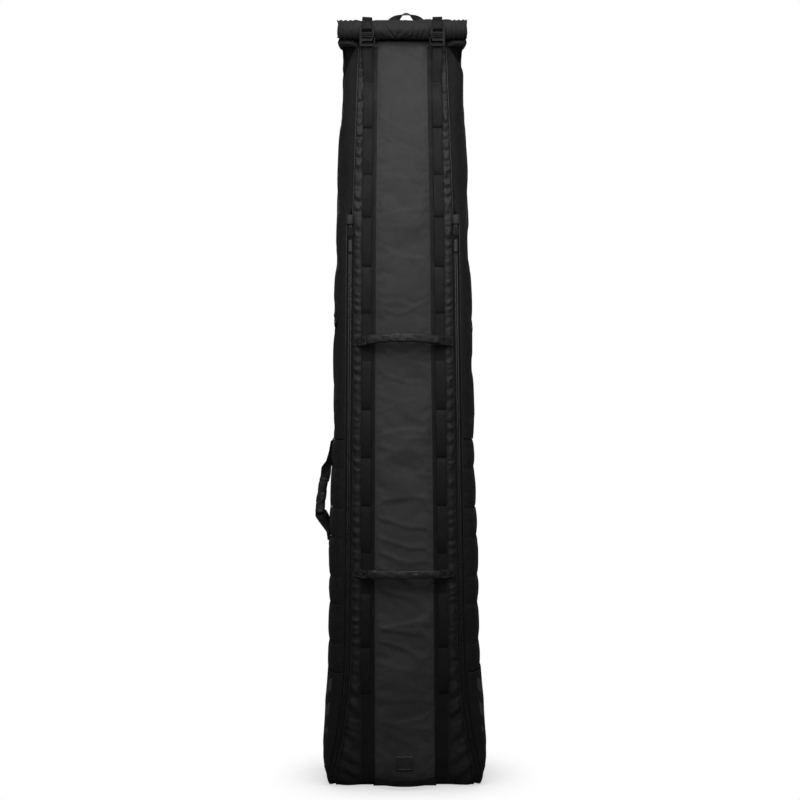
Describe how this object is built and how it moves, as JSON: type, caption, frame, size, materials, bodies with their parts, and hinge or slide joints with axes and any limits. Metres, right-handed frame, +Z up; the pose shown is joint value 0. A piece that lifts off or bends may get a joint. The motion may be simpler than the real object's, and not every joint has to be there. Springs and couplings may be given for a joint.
{
  "type": "ski bag",
  "caption": "Tall wheeled ski bag with a roll-down top on hooks, a full-length zipped front flap, looped webbing rails and ribbed lower sides.",
  "frame": {"origin": "centre of the base's flat underside, on the floor", "axes": "+Z up the bag's length, front flap faces -Y, +X to the right as seen from the front"},
  "size_m": [0.4399, 0.2932, 2.0046],
  "materials": {
    "coated_fabric": "semi-gloss coated cloth",
    "woven_fabric": "matt woven cloth",
    "webbing": "ribbed webbing with a slight sheen",
    "moulded_plastic": "fine texture",
    "black_metal": "satin black",
    "zip_tape": "coated zip tape",
    "tyre_rubber": "matt",
    "axle_steel": "satin",
    "badge_rubber": "matt, debossed"
  },
  "bodies": {
    "shell": {"back_panel": "woven_fabric", "front_yoke": "coated_fabric", "base_tray": "moulded_plastic", "zip_tape_body": "zip_tape", "back_board": "moulded_plastic", "top_handle_anchor": "woven_fabric", "bottom_handle_anchor": "webbing", "side_handle_base": "webbing", "side_ring_tab": "webbing", "inner_strap_upper": "webbing", "inner_strap_lower": "webbing", "inner_buckle_upper": "moulded_plastic", "inner_buckle_lower": "moulded_plastic", "left_side_panel": "woven_fabric", "left_rib_panel": "woven_fabric", "left_corner_panel": "woven_fabric", "left_base_web_upper": "webbing", "left_daisy_web_upper": "webbing", "left_wheel_housing": "moulded_plastic", "left_axle": "axle_steel", "right_side_panel": "woven_fabric", "right_rib_panel": "woven_fabric", "right_corner_panel": "woven_fabric", "right_base_web_upper": "webbing", "right_daisy_web_upper": "webbing", "right_wheel_housing": "moulded_plastic", "right_axle": "axle_steel"},
    "flap": {"front_flap": "coated_fabric", "zip_tape_flap": "zip_tape", "front_badge": "badge_rubber", "left_base_web": "webbing", "right_base_web": "webbing", "left_daisy_web": "webbing", "right_daisy_web": "webbing", "upper_handle_root_left": "coated_fabric", "upper_handle_root_right": "coated_fabric", "lower_handle_root_left": "coated_fabric", "lower_handle_root_right": "coated_fabric"},
    "left_slider": {"left_zip_slider": "black_metal"},
    "right_slider": {"right_zip_slider": "black_metal"},
    "left_pull": {"left_zip_pull": "webbing"},
    "right_pull": {"right_zip_pull": "webbing"},
    "upper_handle": {"upper_handle_grip": "coated_fabric"},
    "lower_handle": {"lower_handle_grip": "coated_fabric"},
    "side_handle": {"side_handle_wing_top": "webbing", "side_handle_grip": "webbing", "side_handle_wing_bottom": "webbing"},
    "haul_loop": {"top_handle": "webbing"},
    "foot_handle": {"bottom_handle": "webbing"},
    "ring": {"side_ring": "black_metal"},
    "roll": {"roll_collar": "woven_fabric", "roll_batten": "moulded_plastic", "left_roll_strap": "webbing", "right_roll_strap": "webbing"},
    "left_hook_body": {"left_hook": "black_metal"},
    "right_hook_body": {"right_hook": "black_metal"},
    "left_wheel": {"left_wheel_hub": "moulded_plastic", "left_wheel_tyre": "tyre_rubber"},
    "right_wheel": {"right_wheel_hub": "moulded_plastic", "right_wheel_tyre": "tyre_rubber"}
  },
  "joints": [
    {"name": "flap_open", "type": "hinge", "parent": "shell", "child": "flap", "pos_m": [0, -0.113, 1.433], "axis": [-1, 0, 0], "range_deg": [0, 115]},
    {"name": "left_zip_slide", "type": "slide", "parent": "flap", "child": "left_slider", "axis": [-0.0098, -0.015, -0.9998], "range_m": [0, 1]},
    {"name": "left_pull_swing", "type": "hinge", "parent": "left_slider", "child": "left_pull", "pos_m": [-0.13425, -0.10328, 1.3976], "axis": [-1, 0, 0], "range_deg": [0, 115]},
    {"name": "right_zip_slide", "type": "slide", "parent": "flap", "child": "right_slider", "axis": [0.0098, -0.015, -0.9998], "range_m": [0, 1]},
    {"name": "right_pull_swing", "type": "hinge", "parent": "right_slider", "child": "right_pull", "pos_m": [0.13425, -0.10328, 1.3976], "axis": [-1, 0, 0], "range_deg": [0, 115]},
    {"name": "upper_handle_swing", "type": "hinge", "parent": "flap", "child": "upper_handle", "pos_m": [0, -0.12979, 1.128], "axis": [1, 0, 0], "range_deg": [-60, 60]},
    {"name": "lower_handle_swing", "type": "hinge", "parent": "flap", "child": "lower_handle", "pos_m": [0, -0.13879, 0.541], "axis": [1, 0, 0], "range_deg": [-60, 60]},
    {"name": "side_handle_swing", "type": "hinge", "parent": "shell", "child": "side_handle", "pos_m": [-0.20137, 0, 0.618], "axis": [0.0365, 0, 0.9993], "range_deg": [-50, 50]},
    {"name": "haul_loop_fold", "type": "hinge", "parent": "shell", "child": "haul_loop", "pos_m": [0, 0.058, 1.799], "axis": [-1, 0, 0], "range_deg": [0, 100]},
    {"name": "foot_handle_lift", "type": "hinge", "parent": "shell", "child": "foot_handle", "pos_m": [0, -0.124, 0.014], "axis": [-1, 0, 0], "range_deg": [0, 40]},
    {"name": "ring_swing", "type": "hinge", "parent": "shell", "child": "ring", "pos_m": [-0.17308, -0.07772, 1.197], "axis": [-0.3151, 0.9491, 0], "range_deg": [0, 90]},
    {"name": "roll_open", "type": "hinge", "parent": "shell", "child": "roll", "pos_m": [0, -0.033, 1.906], "axis": [-1, 0, 0], "range_deg": [0, 90]},
    {"name": "left_hook_swing", "type": "hinge", "parent": "roll", "child": "left_hook_body", "pos_m": [-0.09, -0.0955, 1.9345], "axis": [-1, 0, 0], "range_deg": [0, 90]},
    {"name": "right_hook_swing", "type": "hinge", "parent": "roll", "child": "right_hook_body", "pos_m": [0.09, -0.0955, 1.9345], "axis": [-1, 0, 0], "range_deg": [0, 90]},
    {"name": "left_wheel_spin", "type": "hinge", "parent": "shell", "child": "left_wheel", "pos_m": [-0.152, 0.092, 0.041], "axis": [1, 0, 0], "continuous": true},
    {"name": "right_wheel_spin", "type": "hinge", "parent": "shell", "child": "right_wheel", "pos_m": [0.152, 0.092, 0.041], "axis": [1, 0, 0], "continuous": true}
  ]
}
